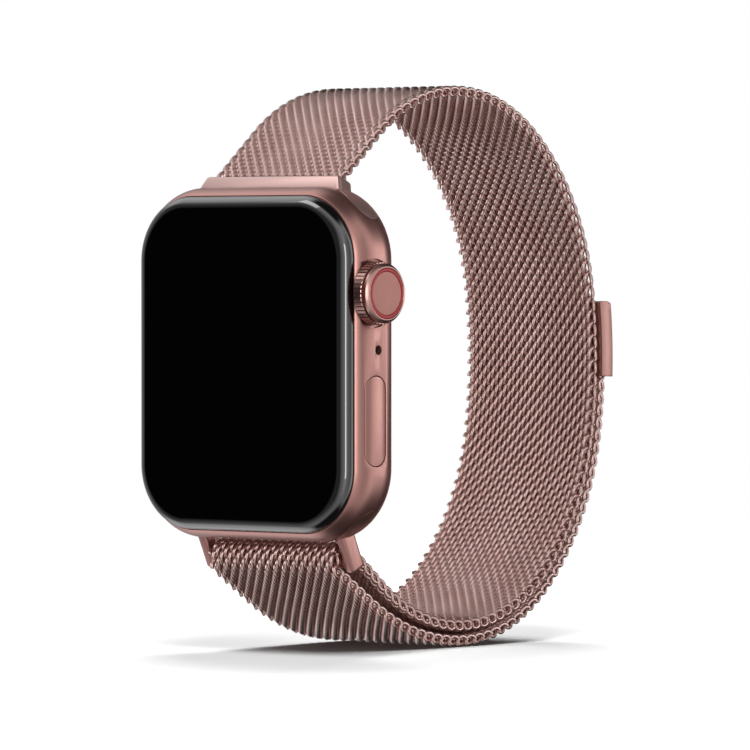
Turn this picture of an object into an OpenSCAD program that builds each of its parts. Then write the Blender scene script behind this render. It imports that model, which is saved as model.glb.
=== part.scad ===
// Smartwatch with a wide woven-mesh loop band, closed by a magnetic clasp.
// The origin is the centre of the wrist opening. The wrist lies along X, the
// screen faces -Y, 12 o'clock is +Z and the crown is on the +X side.

/* [Case] */
// Height of the case
case_h = 44; // [42:0.5:47]
// Width of the case across the metal sides
case_w = 37.4; // [34:0.2:39]
// Radius of the case corners seen from the front
corner_r = 9.2; // [8.6:0.1:9.8]
// Distance from the centre of the wrist opening to the middle of the case
case_setback = 28.8; // [27:0.1:31]

/* [Screen] */
// Thickness of the cover glass with its curved edge
glass_t = 1.45; // [1.2:0.05:1.8]
// Inset of the glass edge from the widest line of the case
glass_inset = 1.15; // [1.1:0.05:1.5]

/* [Crown] */
// Height of the crown axis above the middle of the case
crown_z = 8.8; // [8.2:0.1:9.4]
// Radius of the toothed drum
crown_r = 3.9; // [3.6:0.1:4]
// Number of grip teeth on the drum
crown_teeth = 44; // [30:1:56]
// Push travel of the crown
crown_push = 0.3; // [0.2:0.05:0.35]

/* [Side button] */
// Length of the side button
button_len = 11.1; // [9:0.1:12]
// Width of the side button
button_w = 3.5; // [3:0.1:3.8]
// Height of the middle of the side button
button_z = -6.95; // [-7.2:0.05:-6.8]

/* [Band] */
// Width of the woven band
strap_w = 21.7; // [20:0.1:22]
// Thickness of the woven band
strap_t = 1.6; // [1.4:0.05:1.7]
// Size of the loop relative to the closed medium setting
loop_scale = 1; // [0.98:0.01:1.12]
// Gap between the outer tail and the inner layer
tail_gap = 0.3; // [0.25:0.05:0.5]
// Thickness of the magnetic clasp
clasp_t = 2.2; // [2.1:0.05:2.6]

/* [Clearances] */
// Radial running clearance of pins and sliding cylinders
run_gap = 0.05; // [0.03:0.01:0.08]
// Gap around buttons
button_gap = 0.1; // [0.05:0.01:0.15]

/* [Hidden] */
$fn = 64;

half_w = case_w / 2;
half_h = case_h / 2;
// Middle of the corner arcs
cor_x = half_w - corner_r;
cor_z = half_h - corner_r;
// Front rim, back face and glass front of the case along Y
rim_y = -3;
back_y = 5;
gasket_t = 0.15;
glass_y = rim_y - gasket_t - glass_t;
// Inset of the metal side from its widest line, front to back
side_curve = [[1.05, rim_y], [0.45, -2.2], [0.12, -1.2], [0, -0.2],
    [0, 1.2], [0.15, 2.3], [0.55, 3.3], [1.3, 4.2], [2.3, 4.8],
    [3.4, back_y]];
// Inset of the glass edge added to glass_inset, from rim to front face
glass_curve = [[0, 0], [0.06, 0.25], [0.25, 0.62], [0.6, 1], [1.1, 1.3],
    [1.8, 1.45]];

// Inner space of the case
cav_x = half_w - 2;
cav_z = half_h - 5.1;
cav_y = 3.2;
cover_x = half_w - 4.6;
cover_z = half_h - 6.4;
display_x = cav_x - 1.2;
display_z = cav_z - 0.6;
display_back = -2.4;
// Heights of the board screws and of the haptic engine
board_z = cav_z - 6.9;
haptic_z = 4.7 - cav_z;

// Connector slots: a round bore with a mouth leaning out of the case
slot_y = 1.4;
slot_z = half_h - 2.1;
slot_r = 2 + run_gap;
slot_lean = 65;
neck_t = 2.6;
neck_len = 3.1;
bar_len = 5.1;
bar_r = 0.9;
conn_x = 12.4;
post_x = 11;

// Crown and button
crown_y = -0.5;
shaft_r = 0.8;
recess_x = half_w - 0.55;
button_y = -0.1;
mic_y = 0.3;
mic_z = 1.8;
mic_r = 0.6;

// Band path in the YZ plane: [radius, turn] arcs of the inner layer, from
// the upper connector over the top and round the back to the lower one
half_t = strap_t / 2;
strap_x = strap_w / 2;
start_h = 40;
loop = [for (a = [[24.1, -32], [24.2, -46], [31.2, -43], [59.2, -18],
    [32.2, -36], [22.7, -40], [24.9, -5], [24.9, -38]])
    [a[0] * loop_scale, a[1]]];
fold_r = bar_r + 0.1 + half_t;
exit_h = 142;
function dir(h) = [cos(h), sin(h)];
function left(h) = [-sin(h), cos(h)];
// End point and centre of an arc that starts at p with heading h
function arc_end(p, h, r, a) = p
    + sign(a) * r * [sin(h + a) - sin(h), cos(h) - cos(h + a)];
function arc_mid(p, h, r, a) = p + sign(a) * r * left(h);
function places(p, h, s, i = 0) = i == len(s) ? [[p, h]]
    : concat([[p, h]], places(arc_end(p, h, s[i][0], s[i][1]),
        h + s[i][1], s, i + 1));
// Lengths of the two straights that close a gap g: g = a*u + b*v
function solve(g, u, v) = let (d = u[0] * v[1] - u[1] * v[0])
    [(g[0] * v[1] - g[1] * v[0]) / d, (u[0] * g[1] - u[1] * g[0]) / d];

upper_pt = [slot_y, slot_z] + neck_len * dir(slot_lean);
bar_pt = [slot_y, -slot_z] + bar_len * dir(-slot_lean);
fold_in = bar_pt + fold_r * [sin(exit_h), -cos(exit_h)];
loop_span = places([0, 0], start_h, loop)[len(loop)][0];
runs = solve(fold_in - upper_pt - loop_span, dir(start_h), dir(exit_h));
loop_start = upper_pt + runs[0] * dir(start_h);
spots = places(loop_start, start_h, loop);

// Tail: round the bar of the lower connector, then outside the inner layer
off = strap_t + tail_gap;
tail_h = -33;
fold_turn = 360 + tail_h - exit_h;
fold_out = bar_pt + fold_r * [sin(tail_h), -cos(tail_h)];
low_pt = spots[7][0] + [0, -off];
tail_runs = solve(low_pt - fold_out, dir(tail_h),
    [sin(-tail_h), cos(tail_h) - 1]);
tail_start = fold_out + tail_runs[0] * dir(tail_h);
tail_arcs = [[tail_runs[1], 16.5], [tail_runs[1], 16.5],
    [(loop[6][0] * 5 + loop[5][0] * 17.5) / 22.5 + off, 22.5],
    [loop[5][0] + off, 22.5],
    [loop[4][0] + off, 18], [loop[4][0] + off, 18], [loop[3][0] + off, 8.8]];
tail = places(tail_start, tail_h, tail_arcs);
joint_r = half_t - 0.04;
joint_gap = 0.1;

// Clasp, a sector about the centre of the back arc
back_c = arc_mid(spots[3][0], spots[3][1], loop[3][0], loop[3][1]);
clasp_in = loop[3][0] + half_t + 0.15;
clasp_a = -2.2;
clasp_sweep = 9.2;
clasp_x = strap_x + 0.25;

module at_case() { translate([0, -case_setback, 0]) children(); }
module xcyl(r, x0, x1, y = 0, z = 0) {
    translate([x0, y, z]) rotate([0, 90, 0]) cylinder(r = r, h = x1 - x0);
}
module ycyl(r, y0, y1, x = 0, z = 0) {
    translate([x, y0, z]) rotate([-90, 0, 0]) cylinder(r = r, h = y1 - y0);
}
module block(x, y, z) {
    translate([x[0], y[0], z[0]])
        cube([x[1] - x[0], y[1] - y[0], z[1] - z[0]]);
}
// Rounded rectangle with true arcs, half sizes x and z
module plate_outline(x, z, r) {
    square([2 * (x - r), 2 * z], center = true);
    square([2 * x, 2 * (z - r)], center = true);
    for (i = [-1, 1], k = [-1, 1])
        translate([i * (x - r), k * (z - r)]) circle(r = r);
}
module slab(x, z, r, y0, y1) {
    translate([0, y1, 0]) rotate([90, 0, 0]) linear_extrude(y1 - y0)
        plate_outline(x, z, r);
}
// Pill along Z with its thickness along X
module pill_x(half, len, x0, x1, y, z) {
    s = len / 2 - half;
    block([x0, x1], [y - half, y + half], [z - s, z + s]);
    for (k = [-1, 1]) xcyl(half, x0, x1, y, z + k * s);
}
// Pill along X with its thickness along Y
module pill_y(half, len, y0, y1, z) {
    s = len / 2 - half;
    block([-s, s], [y0, y1], [z - half, z + half]);
    for (k = [-1, 1]) ycyl(half, y0, y1, k * s, z);
}
// Rounded body whose edge follows [inset, y] points, front to back: four
// quarter turns at the corners, a middle block and two side blocks
module soft_box(curve) {
    y0 = curve[0][1];
    y1 = curve[len(curve) - 1][1];
    for (q = [[1, -1, 0], [-1, -1, 90], [-1, 1, 180], [1, 1, 270]])
        translate([q[0] * cor_x, 0, q[1] * cor_z]) rotate([-90, 0, 0])
            rotate([0, 0, q[2]]) rotate_extrude(angle = 90)
                polygon(concat([[0, y0]], [for (c = curve)
                    [corner_r - c[0], c[1]]], [[0, y1]]));
    translate([-cor_x, 0, 0]) rotate([90, 0, 90]) linear_extrude(2 * cor_x)
        polygon(concat([for (c = curve) [c[1], half_h - c[0]]],
            [for (i = [len(curve) - 1:-1:0])
                [curve[i][1], curve[i][0] - half_h]]));
    for (k = [0, 1]) mirror([k, 0, 0])
        linear_extrude(2 * cor_z, center = true)
            polygon(concat([[cor_x, y0]], [for (c = curve)
                [half_w - c[0], c[1]]], [[cor_x, y1]]));
}
// Straight and curved lengths of band, between -x and x
module straight(p, h, len, x = strap_x, lo = -half_t, hi = half_t) {
    translate([0, p[0], p[1]]) rotate([h, 0, 0])
        translate([-x, 0, lo]) cube([2 * x, len, hi - lo]);
}
module ring_part(c, r0, r1, a, sweep, x) {
    translate([0, c[0], c[1]]) rotate([0, 90, 0]) rotate([0, 0, a + 90])
        rotate_extrude(angle = sweep, $fn = 180)
            translate([r0, -x]) square([r1 - r0, 2 * x]);
}
module bend(s, arc, x = strap_x) {
    c = arc_mid(s[0], s[1], arc[0], arc[1]);
    a = arc[1] < 0 ? s[1] + 90 + arc[1] : s[1] - 90;
    ring_part(c, arc[0] - half_t, arc[0] + half_t, a, abs(arc[1]), x);
}
// One stiff length of tail: round at its start, hollowed for the next one
module tail_part(n) {
    next = tail[n + 1][0];
    color("#bd938c") at_case() difference() {
        union() {
            xcyl(joint_r, -strap_x, strap_x, tail[n][0][0], tail[n][0][1]);
            bend(tail[n], tail_arcs[n]);
        }
        if (n < len(tail_arcs) - 1)
            xcyl(joint_r + joint_gap, -strap_x - 1, strap_x + 1,
                next[0], next[1]);
    }
}

module case_frame() {
    color("#c08a82") at_case() difference() {
        soft_box(side_curve);
        slab(cav_x, cav_z, 6.5, rim_y - 1, cav_y);
        slab(cover_x, cover_z, 6, cav_y - 0.1, back_y + 1);
        for (k = [-1, 1]) {
            xcyl(slot_r, -half_w, half_w, slot_y, k * slot_z);
            translate([0, slot_y, k * slot_z]) rotate([k * slot_lean, 0, 0])
                translate([-half_w, 0, -neck_t / 2 - 0.1])
                    cube([case_w, 6, neck_t + 0.2]);
            pill_y(0.8 + button_gap, 5.2, 3.5, back_y + 1, k * (half_h - 5));
        }
        xcyl(crown_r + 0.35, recess_x, half_w + 1, crown_y, crown_z);
        xcyl(1.62, cav_x - 1, half_w, crown_y, crown_z);
        xcyl(mic_r, cav_x - 1, half_w + 1, mic_y, mic_z);
        pill_x(button_w / 2 + button_gap, button_len + 2 * button_gap,
            cav_x - 1, half_w + 1, button_y, button_z);
        for (z = [-4.2, 4.2])
            pill_x(0.45, 6, -half_w - 1, -cav_x + 1, 0.6, z);
    }
}
module display_glass() {
    s = glass_t / 1.45;
    color("#0a0a0c") at_case() soft_box([for (i = [len(glass_curve) - 1:-1:0])
        [glass_curve[i][0] + glass_inset,
            rim_y - gasket_t - glass_curve[i][1] * s]]);
}
module display_gasket() {
    color("#202022") at_case() difference() {
        slab(half_w - 1.3, half_h - 1.3, corner_r - 1.3,
            rim_y - gasket_t, rim_y);
        slab(cav_x, cav_z, 6.5, rim_y - 1, rim_y + 1);
    }
}
module display_panel() {
    color("#101014") at_case() slab(display_x, display_z, 5.8,
        rim_y - 0.1, display_back);
}
module back_cover() {
    color("#8e8e90") at_case() difference() {
        slab(cover_x - 0.05, cover_z - 0.05, 5.95, cav_y, back_y);
        ycyl(13, cav_y - 1, back_y + 1);
    }
}
module back_crystal() {
    color("#1c1c20") at_case() rotate([-90, 0, 0]) rotate_extrude($fn = 96)
        polygon([[0, 4], [12, 4], [12, 5], [11.4, 5.35], [10.2, 5.62],
            [8.4, 5.82], [6, 5.94], [4, 6], [0, 6]]);
}
module electrode_ring() {
    color("#b8b8ba") at_case() difference() {
        ycyl(12.95, 4, 5.15);
        ycyl(12.05, 3, 6);
    }
}
module pulse_lights() {
    color("#79c08a") at_case() for (a = [0:90:270])
        ycyl(1.5, 3.3, 3.95, 6.2 * cos(a), 6.2 * sin(a));
}
module pulse_cells() {
    color("#3a3f58") at_case() for (a = [45:90:315])
        ycyl(1.8, 3.3, 3.95, 6.2 * cos(a), 6.2 * sin(a));
}
module charging_coil() {
    color("#b5713c") at_case() difference() {
        ycyl(11.5, 2.3, 3.1);
        ycyl(7.5, 2, 4);
    }
}
module alignment_magnet() {
    color("#9a9a9e") at_case() ycyl(3.6, 2.3, 3.9);
}
module battery() {
    color("#26262a") at_case() block([-14.6, 5.6], [-1.8, 2], [-7.6, 7.8]);
}
module logic_board() {
    color("#1d5b3a") at_case() difference() {
        block([-9.4, 8.2], [0.6, 1.4], [board_z - 1, board_z + 6.2]);
        for (x = [-8.4, 7.2]) ycyl(0.5, 0, 2, x, board_z);
    }
}
module system_module() {
    color("#55555a") at_case() block([-6.6, 5.4], [-1.5, 0.6],
        [board_z - 0.1, board_z + 5.4]);
}
module board_screws() {
    color("#c8c8ca") at_case() for (x = [-8.4, 7.2]) {
        ycyl(0.45, 0.1, 2.1, x, board_z);
        ycyl(0.85, -0.2, 0.55, x, board_z);
    }
}
module antenna() {
    color("#b98a4a") at_case() block([-9, 9], [2.3, 2.7],
        [board_z + 2.4, board_z + 5.2]);
}
module haptic_housing() {
    color("#a8a8ac") at_case() difference() {
        block([-12.6, 4], [-1.8, 2], [haptic_z - 3.2, haptic_z + 3.2]);
        block([-12.2, 3.6], [-1.45, 1.65],
            [haptic_z - 2.8, haptic_z + 2.8]);
    }
}
module haptic_weight() {
    color("#6c6c70") at_case() block([-10.4, 1.8], [-1.25, 1.45],
        [haptic_z - 2.6, haptic_z + 2.6]);
}
module speaker_box() {
    color("#2c2c30") at_case() {
        block([0.9 - cav_x, 5 - cav_x], [-1.8, 2], [8.6, 12.4]);
        pill_x(0.42, 5.8, 0.2 - cav_x, 1 - cav_x, 0.6, 4.2);
        block([0.3 - cav_x, 1 - cav_x], [0.3, 1], [4.2, 9.2]);
    }
}
module speaker_grille() {
    color("#1a1a1c") at_case() for (z = [-4.2, 4.2])
        pill_x(0.43, 5.96, -half_w + 0.5, -half_w + 0.9, 0.6, z);
}
module microphone() {
    color("#4a4a50") at_case() block([cav_x - 1.6, cav_x - 0.05],
        [mic_y - 1.2, mic_y + 1.2], [mic_z - 1.2, mic_z + 1.2]);
}
module microphone_mesh() {
    color("#1a1a1c") at_case()
        xcyl(mic_r - 0.02, half_w - 0.8, half_w - 0.65, mic_y, mic_z);
}

// Crown group, along X
module crown_tube() {
    color("#9a9a9e") at_case() difference() {
        union() {
            xcyl(1.6, cav_x - 1.3, recess_x, crown_y, crown_z);
            xcyl(1.85, cav_x - 0.95, cav_x - 0.05, crown_y, crown_z);
        }
        xcyl(shaft_r + run_gap, cav_x - 6.2, half_w, crown_y, crown_z);
        xcyl(1.25, cav_x - 0.5, recess_x - 0.4, crown_y, crown_z);
    }
}
module crown_seals() {
    color("#303032") at_case() for (x = [cav_x - 0.4, cav_x + 0.3])
        difference() {
            xcyl(1.22, x, x + 0.5, crown_y, crown_z);
            xcyl(shaft_r + 0.03, x - 1, x + 1, crown_y, crown_z);
        }
}
module crown_housing() {
    color("#85858a") at_case() difference() {
        block([cav_x - 5.3, cav_x - 2.6], [-2.35, 1.6], [crown_z - 2.6, crown_z + 2.6]);
        xcyl(1.5, cav_x - 6.2, cav_x - 2.2, crown_y, crown_z);
        block([cav_x - 4.1, cav_x - 2.2], [-3, 2],
            [crown_z + 1.1, crown_z + 3]);
    }
}
module crown_encoder() {
    color("#3c3c60") at_case()
        block([cav_x - 2.4, cav_x - 1.4], [-1.7, 1], [crown_z - 3.2, crown_z - 1]);
}
module crown_switch() {
    color("#c0a060") at_case() block([cav_x - 7, cav_x - 5.5 - crown_push], [-1.7, 0.9],
        [crown_z - 1.4, crown_z + 1.4]);
}
module crown_cup() {
    color("#b0b0b4") at_case() difference() {
        xcyl(1.45, cav_x - 5.4, cav_x - 3.1, crown_y, crown_z);
        xcyl(1.15, cav_x - 4.65, cav_x - 3.65, crown_y, crown_z);
        xcyl(shaft_r + run_gap, cav_x - 4.2, cav_x - 2.2, crown_y, crown_z);
    }
}
module crown_shaft() {
    color("#c8c8ca") at_case() {
        xcyl(shaft_r, cav_x - 4.2, half_w + 0.7, crown_y, crown_z);
        xcyl(1.1, cav_x - 4.6, cav_x - 3.7, crown_y, crown_z);
    }
}
module crown_cap() {
    color("#b88078") at_case() difference() {
        union() {
            translate([half_w - 0.1, crown_y, crown_z]) rotate([0, 90, 0])
                linear_extrude(1.3) difference() {
                    circle(r = crown_r);
                    for (i = [0:crown_teeth - 1])
                        rotate(i * 360 / crown_teeth)
                            translate([crown_r - 0.16, -0.11])
                                square([1, 0.22]);
                }
            xcyl(crown_r - 0.5, half_w + 1.1, half_w + 1.5, crown_y, crown_z);
            xcyl(crown_r - 0.2, half_w + 1.45, half_w + 1.8, crown_y, crown_z);
            translate([half_w + 1.8, crown_y, crown_z]) rotate([0, 90, 0])
                cylinder(r1 = crown_r - 0.25, r2 = crown_r - 0.6, h = 0.35);
        }
        xcyl(crown_r - 0.75, half_w + 1.75, half_w + 3, crown_y, crown_z);
        xcyl(shaft_r + 0.02, half_w - 1, half_w + 0.75, crown_y, crown_z);
    }
}
module crown_ring() {
    color("#8e1c22") at_case() difference() {
        xcyl(crown_r - 0.78, half_w + 1.75, half_w + 2.1, crown_y, crown_z);
        xcyl(crown_r - 1.2, half_w + 1, half_w + 3, crown_y, crown_z);
    }
}
module crown_disc() {
    color("#b07a73") at_case()
        xcyl(crown_r - 1.22, half_w + 1.75, half_w + 2.06, crown_y, crown_z);
}

// Side button group
module side_button() {
    h = button_w / 2;
    color("#c08a82") at_case() difference() {
        union() {
            pill_x(h, button_len, cav_x - 0.6, half_w - 0.06, button_y, button_z);
            intersection() {
                pill_x(h + 0.6, button_len + 1.2, cav_x - 0.9, cav_x - 0.3,
                    button_y, button_z);
                slab(cav_x - 0.2, cav_z - 0.2, 6.3, rim_y, cav_y);
            }
            xcyl(0.8, cav_x - 1.5, cav_x - 0.8, button_y, button_z);
        }
        difference() {
            pill_x(h + 1, button_len + 2, cav_x + 0.5, cav_x + 0.8,
                button_y, button_z);
            pill_x(h - 0.25, button_len - 0.5, cav_x, cav_x + 1.2,
                button_y, button_z);
        }
    }
}
module button_seal() {
    h = button_w / 2;
    color("#303032") at_case() difference() {
        pill_x(h + 0.06, button_len + 0.12, cav_x + 0.52, cav_x + 0.78,
            button_y, button_z);
        pill_x(h - 0.25, button_len - 0.5, cav_x, cav_x + 1.2,
            button_y, button_z);
    }
}
module button_switch() {
    color("#c0a060") at_case() {
        block([cav_x - 2.9, cav_x - 2.1], [button_y - 1.4, button_y + 1.4],
            [button_z - 1.6, button_z + 1.6]);
        xcyl(0.9, cav_x - 2.1, cav_x - 1.85, button_y, button_z);
    }
}
module button_bracket() {
    color("#8a8a8e") at_case() {
        block([cav_x - 3.5, cav_x - 2.9], [-1.8, 1.6],
            [button_z - 5.4, button_z + 5.4]);
        for (z = [button_z - 5.4, button_z + 4.6])
            block([cav_x - 2.9, cav_x - 1.6], [-1.8, 1.6], [z, z + 0.8]);
    }
}

// Band release buttons in the back of the case
module release(k) {
    color("#b88078") at_case()
        pill_y(0.8, 5, 4.1, back_y - 0.1, k * (half_h - 5));
}
module upper_release() { release(1); }
module lower_release() { release(-1); }

// Connectors: round rail in the case slot, its ends flush with the sides, neck leaning out to the band
module rail(k) {
    difference() {
        intersection() {
            xcyl(slot_r - run_gap, -half_w, half_w, slot_y, k * slot_z);
            soft_box(side_curve);
        }
        ycyl(0.55, slot_y, slot_y + 3, 0, k * slot_z);
    }
}
module latch_pin(k) {
    color("#c8c8ca") at_case()
        ycyl(0.5, slot_y + 0.1, slot_y + 1.85, 0, k * slot_z);
}
module upper_latch_pin() { latch_pin(1); }
module lower_latch_pin() { latch_pin(-1); }
module upper_connector() {
    color("#cfa49c") at_case() difference() {
        union() {
            rail(1);
            straight([slot_y, slot_z] + 1.2 * dir(slot_lean), slot_lean,
                neck_len - 1.2, conn_x, -neck_t / 2, neck_t / 2);
            xcyl(neck_t / 2 - 0.05, -conn_x, conn_x, upper_pt[0], upper_pt[1]);
        }
        straight(upper_pt - 0.3 * dir(start_h), start_h, 5, strap_x + 0.05,
            -half_t - 0.02, half_t + 0.02);
    }
}
module lower_connector() {
    color("#cfa49c") at_case() {
        rail(-1);
        for (x = [-1, 1]) translate([x * (conn_x + post_x) / 2, 0, 0])
            straight([slot_y, -slot_z] + 1.4 * dir(-slot_lean), -slot_lean,
                bar_len - 1.4, (conn_x - post_x) / 2, -1.2, 1.2);
        xcyl(bar_r, -conn_x, conn_x, bar_pt[0], bar_pt[1]);
        for (x = [-1, 1]) translate([x * (conn_x + post_x) / 2, 0, 0])
            xcyl(1.2, -(conn_x - post_x) / 2, (conn_x - post_x) / 2,
                bar_pt[0], bar_pt[1]);
    }
}

// Inner layer of the band, in lengths that meet end to end
module strap_top() {
    color("#c99f98") at_case() {
        straight(upper_pt + 0.1 * dir(start_h), start_h, runs[0] - 0.1);
        bend(spots[0], loop[0]);
    }
}
module strap_upper_back() {
    color("#c99f98") at_case() {
        bend(spots[1], loop[1]);
        bend(spots[2], loop[2]);
    }
}
module strap_back() {
    color("#c99f98") at_case() bend(spots[3], loop[3]);
}
module strap_lower_back() {
    color("#c99f98") at_case() {
        bend(spots[4], loop[4]);
        bend(spots[5], loop[5]);
    }
}
module strap_bottom() {
    color("#c99f98") at_case() {
        bend(spots[6], [loop[6][0], loop[6][1] + loop[7][1]]);
        straight(spots[8][0], exit_h, runs[1]);
    }
}
// The fold round the bar and the root of the tail
module strap_fold() {
    color("#c99f98") at_case() difference() {
        union() {
            bend([fold_in, exit_h], [fold_r, fold_turn]);
            straight(fold_out, tail_h, tail_runs[0]);
        }
        xcyl(joint_r + joint_gap, -strap_x - 1, strap_x + 1,
            tail_start[0], tail_start[1]);
    }
}
module strap_tail_1() { tail_part(0); }
module strap_tail_2() { tail_part(1); }
module strap_tail_3() { tail_part(2); }
module strap_tail_4() { tail_part(3); }
module strap_tail_5() { tail_part(4); }
module strap_tail_6() { tail_part(5); }
module strap_tail_7() { tail_part(6); }

// Magnetic clasp at the end of the tail
module clasp_shell() {
    color("#c89890") at_case() difference() {
        ring_part(back_c, clasp_in, clasp_in + clasp_t, clasp_a,
            clasp_sweep, clasp_x);
        ring_part(back_c, loop[3][0] + off - half_t - 0.03,
            loop[3][0] + off + half_t + 0.03, clasp_a - 1, 3.1,
            strap_x + 0.03);
        ring_part(back_c, clasp_in - 1, clasp_in + 1.65, 1, 5.2, 9.6);
        ring_part(back_c, clasp_in - 1, clasp_in + 0.4, 0.4, 6.4, 10.4);
    }
}
module clasp_magnets() {
    color("#8a8a8e") at_case() for (x = [-6.4, -3.2, 0, 3.2, 6.4])
        translate([x, 0, 0]) ring_part(back_c, clasp_in + 0.42,
            clasp_in + 1.6, 1.1, 5, 1.5);
}
module clasp_plate() {
    color("#b88a82") at_case() ring_part(back_c, clasp_in + 0.02,
        clasp_in + 0.4, 0.5, 6.2, 10.3);
}

case_frame();
display_glass();
display_gasket();
display_panel();
back_cover();
back_crystal();
electrode_ring();
pulse_lights();
pulse_cells();
charging_coil();
alignment_magnet();
battery();
logic_board();
system_module();
board_screws();
antenna();
haptic_housing();
haptic_weight();
speaker_box();
speaker_grille();
microphone();
microphone_mesh();
crown_tube();
crown_seals();
crown_housing();
crown_encoder();
crown_switch();
crown_cup();
crown_shaft();
crown_cap();
crown_ring();
crown_disc();
button_bracket();
button_switch();
side_button();
button_seal();
upper_release();
lower_release();
upper_connector();
upper_latch_pin();
lower_connector();
lower_latch_pin();
strap_top();
strap_upper_back();
strap_back();
strap_lower_back();
strap_bottom();
strap_fold();
strap_tail_1();
strap_tail_2();
strap_tail_3();
strap_tail_4();
strap_tail_5();
strap_tail_6();
strap_tail_7();
clasp_shell();
clasp_magnets();
clasp_plate();
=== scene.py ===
from math import ceil, cos, pi, radians, sin

import bmesh
import bpy
from mathutils import Matrix, Vector


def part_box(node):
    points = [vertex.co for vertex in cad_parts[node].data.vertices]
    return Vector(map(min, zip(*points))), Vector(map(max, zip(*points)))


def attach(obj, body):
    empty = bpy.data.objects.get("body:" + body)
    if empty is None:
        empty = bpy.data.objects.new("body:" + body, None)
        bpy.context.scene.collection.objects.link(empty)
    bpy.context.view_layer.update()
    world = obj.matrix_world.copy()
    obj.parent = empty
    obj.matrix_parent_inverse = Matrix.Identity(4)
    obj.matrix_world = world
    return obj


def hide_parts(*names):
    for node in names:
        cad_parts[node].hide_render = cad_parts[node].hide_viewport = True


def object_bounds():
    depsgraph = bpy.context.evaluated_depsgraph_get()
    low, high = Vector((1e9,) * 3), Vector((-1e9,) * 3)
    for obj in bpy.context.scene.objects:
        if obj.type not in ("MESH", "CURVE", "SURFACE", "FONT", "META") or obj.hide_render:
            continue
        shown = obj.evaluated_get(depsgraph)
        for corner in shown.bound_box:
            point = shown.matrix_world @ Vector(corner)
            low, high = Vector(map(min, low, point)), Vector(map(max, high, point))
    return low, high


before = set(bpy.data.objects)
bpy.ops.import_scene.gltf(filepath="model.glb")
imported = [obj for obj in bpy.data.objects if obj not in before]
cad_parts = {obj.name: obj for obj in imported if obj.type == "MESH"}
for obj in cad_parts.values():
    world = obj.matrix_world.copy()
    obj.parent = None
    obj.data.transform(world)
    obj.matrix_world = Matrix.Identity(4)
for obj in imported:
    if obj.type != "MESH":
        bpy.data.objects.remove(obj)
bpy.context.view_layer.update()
scene = bpy.context.scene
mm = 0.001  # pieces are modelled in millimetres and brought to metres at the end


def nodeBox(node):
    low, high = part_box(node)
    return low / mm, high / mm


caseLow, caseHigh = nodeBox("case_frame")
glassLow, glassHigh = nodeBox("display_glass")
crownHigh = nodeBox("crown_cap")[1]
case = dict(
    cornerRadius=9.2, frontDepth=3.0, backDepth=5.0,  # depths from the datum line
    flatFront=0.2, flatBack=1.2,                      # the widest part of the sides
    frontCurve=(2.2, 3.3, 58), backCurve=(3.4, 3.8, 90),  # inset, depth, degrees
    cornerSegments=28, edgeBevel=0.09)
datum = caseLow.y + case["frontDepth"]  # the plane that case depths count from
halfW, halfH = caseHigh.x, caseHigh.z


# Camera, floor and light

view = dict(azimuth=41.0, elevation=0.95, distance=780, lens=304.3,
            target=(18.2, -28.58, -1.25))
turn, tilt = radians(view["azimuth"]), radians(view["elevation"])
towardsCamera = Vector((sin(turn) * cos(tilt), -cos(turn) * cos(tilt), sin(tilt)))
cameraData = bpy.data.cameras.new("mainCamera")
cameraData.lens = view["lens"]
cameraData.sensor_width = 36
cameraData.clip_start = 0.01
camera = bpy.data.objects.new("mainCamera", cameraData)
scene.collection.objects.link(camera)
camera.location = (Vector(view["target"]) + towardsCamera * view["distance"]) * mm
camera.rotation_euler = (-towardsCamera).to_track_quat("-Z", "Y").to_euler()
scene.camera = camera
scene.view_settings.view_transform = "Standard"


def deselect():
    if bpy.context.mode != "OBJECT":
        bpy.ops.object.mode_set(mode="OBJECT")
    bpy.ops.object.select_all(action="DESELECT")


def activate(*pieces):
    deselect()
    for piece in pieces:
        piece.select_set(True)
    bpy.context.view_layer.objects.active = pieces[0]


def hexColour(code):
    parts = [int(code[i:i + 2], 16) / 255 for i in (1, 3, 5)]
    return tuple(p / 12.92 if p <= 0.04045 else ((p + 0.055) / 1.055) ** 2.4
                 for p in parts) + (1.0,)


def addNode(tree, kind, values=None, links=None, **settings):
    node = tree.nodes.new("ShaderNode" + kind)
    for key, value in settings.items():
        setattr(node, key, value)
    for key, value in (values or {}).items():
        node.inputs[key].default_value = value
    for key, source in (links or {}).items():
        tree.links.new(source, node.inputs[key])
    return node


def direction(azimuth, height):
    # unit vector towards a place round the watch; azimuth 0 is the screen side
    a, h = radians(azimuth), radians(height)
    return Vector((sin(a) * cos(h), -cos(a) * cos(h), sin(h)))


# Softboxes: azimuth, elevation, distance, width, height, brightness
softboxes = dict(
    rimBox=(48, 4, 0.6, 0.1, 0.4, 3.8),
    sideBox=(142, 4, 0.6, 0.05, 0.3, 4.0),
    topBox=(-40, 50, 0.6, 0.25, 0.2, 2.0),
    meshBox=(-32, 8, 0.6, 0.4, 0.4, 2.6),
    floorBack=(221, 58, 0.6, 0.3, 0.3, 48.0),
    floorFront=(41, 58, 0.6, 0.3, 0.3, 48.0))
floorOnly = bpy.data.collections.new("floorOnly")
meshOnly = bpy.data.collections.new("meshOnly")
for group in (floorOnly, meshOnly):
    scene.collection.children.link(group)
for name, (azimuth, height, distance, wide, tall, brightness) in softboxes.items():
    lamp = bpy.data.lights.new(name, "AREA")
    lamp.shape = "RECTANGLE"
    lamp.size, lamp.size_y = wide, tall
    lamp.energy = brightness * pi * wide * tall
    holder = bpy.data.objects.new(name, lamp)
    scene.collection.objects.link(holder)
    holder.location = direction(azimuth, height) * distance
    holder.rotation_euler = direction(azimuth, height).to_track_quat("Z", "Y").to_euler()
    holder.visible_camera = False
    if name.startswith("floor"):  # keeps the floor white without washing out the metal
        holder.light_linking.receiver_collection = floorOnly
    if name == "meshBox":  # opens up the weave without greying the glass
        holder.light_linking.receiver_collection = meshOnly

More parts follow.
